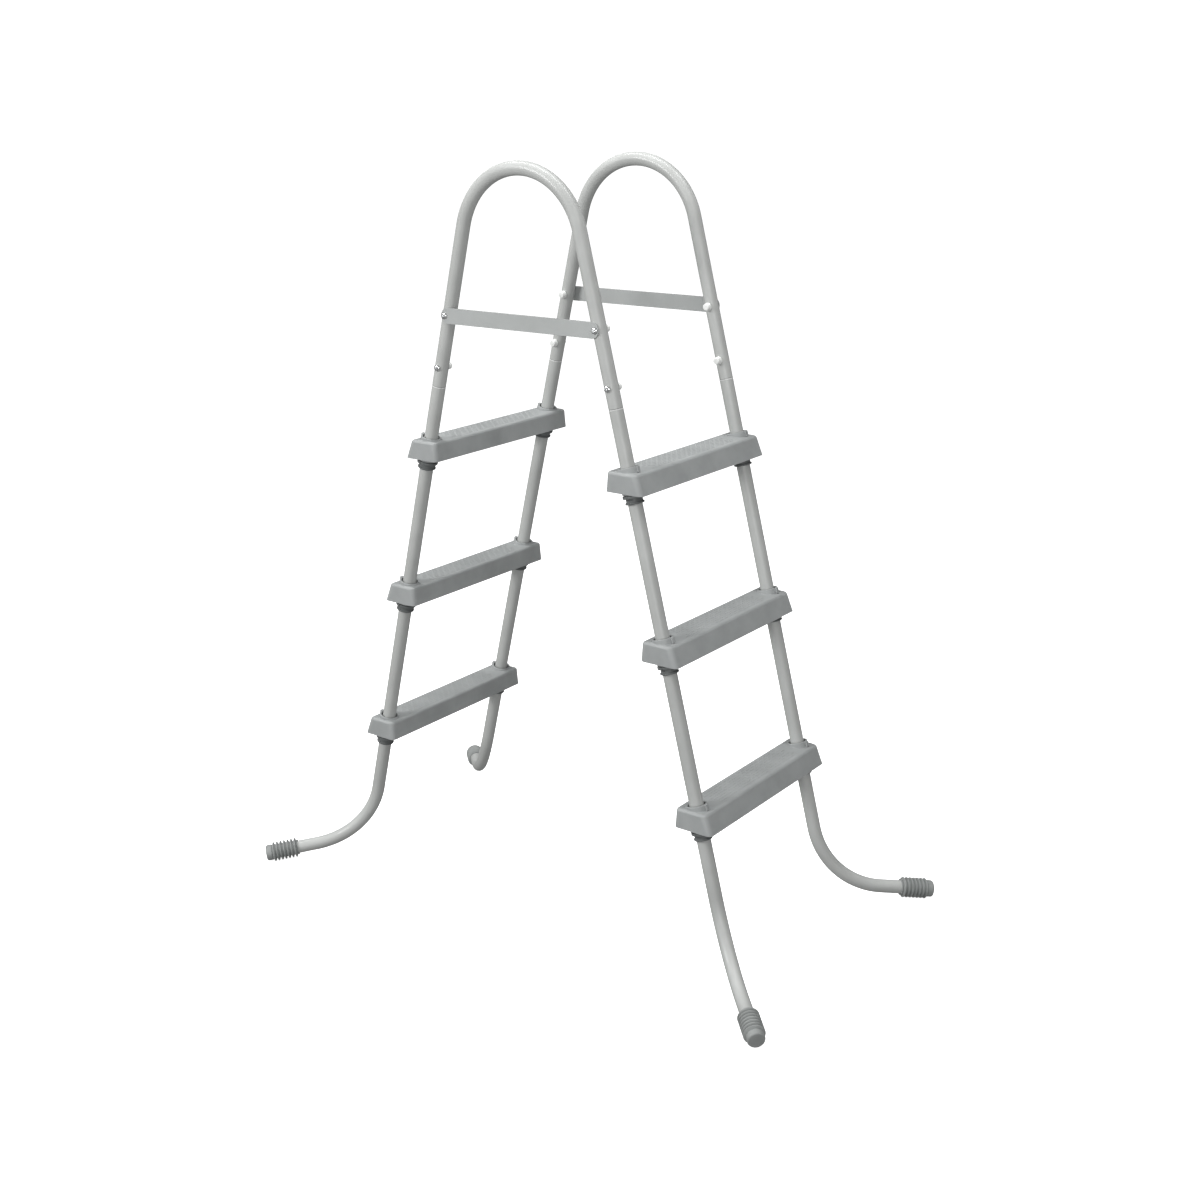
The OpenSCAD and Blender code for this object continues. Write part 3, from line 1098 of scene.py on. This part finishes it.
@dataclass
class Fasteners:
    """The screws and the white caps over their nuts, at the brace bars and at the leg joints.

    Attributes:
        line: the leg line.
        finishes: the ladder's materials.
        head_r, head_h: radius and height of a pan head.
        crown, crown_drop: radii at which the head's dome is drawn, and how far it falls to the
            head's edge as a share of its height.
        recess_arm, recess_w, recess_lip, recess_deep, recess_in: the cross recess, the depths of
            its lip and floor, and its floor's size as a share of its mouth's.
        thread_r: radius of the thread.
        cap_r, cap_flange, cap_skirt, cap_dome, cap_wall: radius of a nut cap, how far its foot
            flares and how high that is, the rounding of its dome and its wall.
    """

    line: LegLine
    finishes: Finishes
    head_r: float = 6
    head_h: float = 3.6
    crown: tuple[float, ...] = (5.82, 5.2, 4.5, 3.6)
    crown_drop: float = 0.55
    recess_arm: float = 3.1
    recess_w: float = 1.5
    recess_lip: float = 0.15
    recess_deep: float = 1.9
    recess_in: float = 0.72
    thread_r: float = 3
    cap_r: float = 6.5
    cap_flange: float = 0.7
    cap_skirt: float = 1.6
    cap_dome: float = 2.2
    cap_wall: float = 1

    def build(self) -> None:
        """Build both rows of screws and both rows of caps."""
        for row in ("brace", "joint"):
            for kind, draw, finish, slot, smooth_deg in (
                ("screws", self.draw_screw, self.finishes.screw, "screw", 30),
                ("nut_caps", self.draw_cap, self.finishes.nut_cap, "nut_cap", 40),
            ):
                node = f"{row}_{kind}"
                bm = self.corners(node, draw)
                finish_mesh(node, bm, finish, smooth_deg=smooth_deg)

    def corners(self, node: str, draw: Callable[[BMesh, float, float], None]) -> BMesh:
        """Draw one fastener along +Z at all four corners, turned outwards.

        Args:
            node: the frame's node that holds the row.
            draw: draws it between a lowest and a highest distance from the ladder's middle plane.

        Returns:
            The mesh of the whole row.
        """
        low, high = (Vector(c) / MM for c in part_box(node))
        z = (low.z + high.z) / 2
        inner = min(abs(v.co.y) for v in bpy.data.objects[node].data.vertices) / MM
        bm = bmesh.new()
        for end in End:
            for side in Side:
                known = set(bm.verts)
                draw(bm, inner, high.y)
                turn = Matrix.Rotation(-end.value * math.pi / 2, 4, "X")
                place = Matrix.Translation((side.value * self.line.x_at(z), 0, z)) @ turn
                bmesh.ops.transform(bm, matrix=place, verts=[v for v in bm.verts if v not in known])
        return bm

    def draw_screw(self, bm: BMesh, inner: float, outer: float) -> None:
        """Draw one screw along +Z.

        Args:
            bm: the mesh to add to.
            inner: where its thread ends.
            outer: the top of its head.
        """
        under, rim = outer - self.head_h, self.crown[-1]
        outline = [(0, inner), (self.thread_r - 0.5, inner), (self.thread_r, inner + 0.6)]
        outline += [(self.thread_r, under), (self.head_r - 0.3, under), (self.head_r, under + 0.4)]
        drop = self.crown_drop * self.head_h
        outline += [(r, outer - drop * (r / self.head_r) ** 4) for r in self.crown]
        verts = lathe(bm, outline, 32)
        mouth = {v for v in verts if abs(v.co.xy.length - rim) < TINY and v.co.z > under}
        edges = list({e for v in mouth for e in v.link_edges if mouth.issuperset(e.verts)})
        cross = self.push_in(bm, edges, 1, outer - self.recess_lip)
        floor = self.push_in(bm, cross, self.recess_in, outer - self.recess_deep)
        bmesh.ops.contextual_create(bm, geom=floor)

    def cross_radius(self, turn: float) -> float:
        """Return how far the cross recess reaches in a direction, in radians."""
        off_arm = abs((turn + math.pi / 4) % (math.pi / 2) - math.pi / 4)
        return min(self.recess_arm, self.recess_w / 2 / max(math.sin(off_arm), 1e-3))

    def push_in(self, bm: BMesh, edges: list[BMEdge], share: float, height: float) -> list[BMEdge]:
        """Extrude a closed loop of edges to the cross recess's outline at a new height.

        Args:
            bm: the mesh.
            edges: the loop.
            share: the outline's size as a share of the recess's at its mouth.
            height: its height.

        Returns:
            The new loop.
        """
        made = bmesh.ops.extrude_edge_only(bm, edges=edges)["geom"]
        loop = [g for g in made if isinstance(g, BMEdge)]
        for vert in {v for e in loop for v in e.verts}:
            turn = math.atan2(vert.co.y, vert.co.x)
            reach = self.cross_radius(turn) * share
            vert.co = Vector((reach * math.cos(turn), reach * math.sin(turn), height))
        return loop

    def draw_cap(self, bm: BMesh, inner: float, outer: float) -> None:
        """Draw one nut cap along +Z: a domed cap with a short skirt against the tube.

        Args:
            bm: the mesh to add to.
            inner: the top of its dome, towards the ladder's middle.
            outer: its open end against the tube.
        """
        foot_r, bore = self.cap_r + self.cap_flange, self.cap_r - self.cap_wall
        skirt, roof = outer - self.cap_skirt, inner + self.cap_wall + 1
        outline = [(0, inner)]
        outline += arc(self.cap_r - self.cap_dome, inner + self.cap_dome, self.cap_dome, 270, 360, 6)
        outline += [(self.cap_r, skirt), (foot_r, skirt + 0.3), (foot_r, outer)]
        outline += [(bore, outer), (bore, roof), (0, roof)]
        lathe(bm, outline, 36)


@dataclass
class FootCap:
    """A ribbed rubber cap over the end of a foot.

    Attributes:
        end, side: which foot it is on.
        frame: the tube frame, which says how the foot lies.
        finish: its material.
        length, end_t, wall: its length, the thickness of its closed end and its wall.
        ribs, first_rib, pitch: how many ribs it has, and where.
        rib_r, rib_half, rib_top: a rib's round crest, half its width at its foot and its height,
            measured from the cap's middle.
        crest_deg: how far a rib's round crest reaches to each side.
        groove: how far the grooves between the ribs go below the plain wall.
        fit, mouth_round, end_round: play round the tube, and roundings of the two ends.
    """

    end: End
    side: Side
    frame: TubeFrame
    finish: Material
    length: float = 64
    end_t: float = 5
    wall: float = 3
    ribs: int = 7
    first_rib: float = 5.6
    pitch: float = 7.1
    rib_r: float = 1.1
    rib_half: float = 2.9
    rib_top: float = 19.0
    crest_deg: float = 65
    groove: float = 1.7
    fit: float = 0.1
    mouth_round: float = 0.6
    end_round: float = 3.6

    def outline(self) -> Outline:
        """Draw the cap's outline from its mouth to its closed end and back up its bore.

        Returns:
            The points of the closed outline.
        """
        bore = self.frame.tube_d / 2 + self.fit
        plain = self.frame.tube_d / 2 + self.wall
        points = [(bore, 0), (plain - self.mouth_round, 0), (plain, self.mouth_round)]
        for i in range(self.ribs):
            middle = self.first_rib + i * self.pitch
            points += [(plain - self.groove, middle - self.rib_half)]
            crest = self.rib_top - self.rib_r
            points += arc(crest, middle, self.rib_r, -self.crest_deg, self.crest_deg, 6)
            points += [(plain - self.groove, middle + self.rib_half)]
        points += [(plain, middle + self.rib_half + self.groove)]
        points += arc(plain - self.end_round, self.length - self.end_round, self.end_round, 0, 90, 5)
        floor = self.length - self.end_t
        return points + [(0, self.length), (0, floor), (bore, floor), (bore, 0)]

    def build(self) -> None:
        """Build the cap and push it over its foot."""
        bm = bmesh.new()
        lathe(bm, self.outline(), 56)
        tube, turn = self.frame, math.radians(self.frame.foot_bend_deg)
        out = tube.foot_bend_r * (1 - math.cos(turn))
        down = tube.leg_length(self.end, self.side) + tube.foot_bend_r * math.sin(turn)
        heading = Matrix.Rotation(math.radians(tube.foot_turn_deg), 4, "Z")
        bend_end = Matrix.Translation((out, 0, -down)) @ Matrix.Rotation(math.pi - turn, 4, "Y")
        slide = Matrix.Translation((0, 0, tube.foot_straight + self.end_t - self.length))
        leg = to_corner(self.end, self.side) @ tube.line.at(tube.joint_z)
        node = f"foot_cap_{corner_name(self.end, self.side)}"
        finish_mesh(node, bm, self.finish, leg @ heading @ bend_end @ slide)


# ==== Studio


@dataclass
class Studio:
    """A pale floor, soft light and the camera.

    Attributes:
        white: the colour of the floor and of what is round it.
        glow: how bright the floor is in itself.
        behind, around: how bright the world is behind the ladder and as light.
        target: what the camera looks at, in metres.
        azimuth_deg, elevation_deg, roll_deg, distance: where the camera stands.
        lens, sensor, shift_y: its lens and sensor in millimetres, and its vertical shift.
        lit: the point that the lights are turned to.
    """

    white: str = "#FFFFFF"
    glow: float = 0.9
    behind: float = 1.1
    around: float = 0.24
    target: tuple[float, float, float] = (0.0293, 0.0057, 0.7276)
    azimuth_deg: float = 36.894
    elevation_deg: float = 15.03
    roll_deg: float = -0.667
    distance: float = 3.042
    lens: float = 49.8
    sensor: float = 36
    shift_y: float = -0.0667
    lit: tuple[float, float, float] = (0, 0, 0.7)

    def build(self) -> None:
        """Build the camera, the floor and the lights."""
        self.add_camera()
        self.add_floor()
        self.add_lights()
        self.add_world()
        bpy.context.scene.view_settings.view_transform = "Standard"

    def add_camera(self) -> None:
        """Add the camera and make it the scene's."""
        data = bpy.data.cameras.new("camera")
        data.lens, data.sensor_width, data.shift_y = self.lens, self.sensor, self.shift_y
        a, e = math.radians(self.azimuth_deg), math.radians(self.elevation_deg)
        back = Vector((math.sin(a) * math.cos(e), -math.cos(a) * math.cos(e), math.sin(e)))
        look = (-back).to_track_quat("-Z", "Y").to_matrix().to_4x4()
        spot = Matrix.Translation(Vector(self.target) + back * self.distance)
        roll = Matrix.Rotation(math.radians(self.roll_deg), 4, "Z")
        bpy.context.scene.camera = put_in_scene("camera", data, spot @ look @ roll)

    def add_floor(self) -> None:
        """Add the plain floor."""
        bm = bmesh.new()
        bmesh.ops.create_grid(bm, x_segments=1, y_segments=1, size=30)
        mesh = bpy.data.meshes.new("floor")
        bm.to_mesh(mesh)
        bm.free()
        floor = put_in_scene("floor", mesh)
        paint = bpy.data.materials.new("pale_floor")
        tree = emptied_tree(paint)
        white = linear(self.white)
        glow = {"Emission Color": white, "Emission Strength": self.glow}
        shader = add_node(
            tree, "ShaderNodeBsdfPrincipled", {"Base Color": white, "Roughness": 0.9, **glow}
        )
        add_node(tree, "ShaderNodeOutputMaterial", links={"Surface": shader.outputs["BSDF"]})
        mesh.materials.append(paint)
        floor.visible_glossy = False
        floor.visible_diffuse = False

    def add_lights(self) -> None:
        """Add the soft area lights."""
        for name, place, size, power in (
            ("key", (-1.9, -3.4, 2.6), (1.4, 1.4), 122),
            ("top_left", (-1.2, 0.1, 4.2), (0.35, 2.6), 57),
            ("top_right", (0.6, 0.1, 4.2), (0.35, 2.6), 57),
            ("fill", (2.7, -3.1, 1.2), (1.6, 1.6), 44),
            ("streak", (2.6, -1.2, 3.2), (0.25, 1.8), 16),
        ):
            data = bpy.data.lights.new(name, "AREA")
            data.shape, data.energy = "RECTANGLE", power
            data.size, data.size_y = size
            aim = (Vector(self.lit) - Vector(place)).to_track_quat("-Z", "Y").to_matrix().to_4x4()
            put_in_scene(name, data, Matrix.Translation(place) @ aim)

    def add_world(self) -> None:
        """Add a world that is white behind the ladder and a softer grey as light."""
        world = bpy.data.worlds.new("studio")
        bpy.context.scene.world = world
        tree = emptied_tree(world)
        ray = add_node(tree, "ShaderNodeLightPath")
        around, behind = (
            add_node(tree, "ShaderNodeBackground", {"Color": linear(self.white), "Strength": strength})
            for strength in (self.around, self.behind)
        )
        links = {0: ray.outputs["Is Camera Ray"], 1: around.outputs[0], 2: behind.outputs[0]}
        mix = add_node(tree, "ShaderNodeMixShader", links=links)
        add_node(tree, "ShaderNodeOutputWorld", links={"Surface": mix.outputs[0]})


# ==== Assembly


def dress_hidden_nuts(nodes: dict[str, Object], material: Material) -> None:
    """Give the nuts under the caps their zinc plate.

    Args:
        nodes: the frame's objects by name.
        material: the nuts' material.
    """
    for name in ("brace_nuts", "joint_nuts"):
        node = nodes[name]
        for slot in node.material_slots:
            slot.material = material
        LOG.info("%s: kept from the frame", name)


def main() -> None:
    """Build the ladder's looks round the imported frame."""
    logging.basicConfig(level=logging.INFO, format="%(name)s: %(message)s")
    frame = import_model()
    Studio().build()
    line = LegLine.from_frame(Fasteners.head_r * 2)
    finishes = make_finishes(line.along(line.joint_z(TubeFrame.tube_d)), line.lean)
    tubes = TubeFrame(line, finishes.tube)
    tubes.build()
    top_tread_z = frame["record"]["mounts"][0]["pos_m"][2] / MM
    steps = [
        Step(side, level, line, finishes.step, top_tread_z) for side in Side for level in Level
    ]
    for step in steps:
        step.build()
    StepStops(line, finishes.stop).build(steps)
    for end in End:
        BraceBar(end, finishes.bar).build()
    Fasteners(line, finishes).build()
    for end in End:
        for side in Side:
            FootCap(end, side, tubes, finishes.foot_cap).build()
    dress_hidden_nuts(frame["nodes"], finishes.nut)


if __name__ == "__main__":
    main()
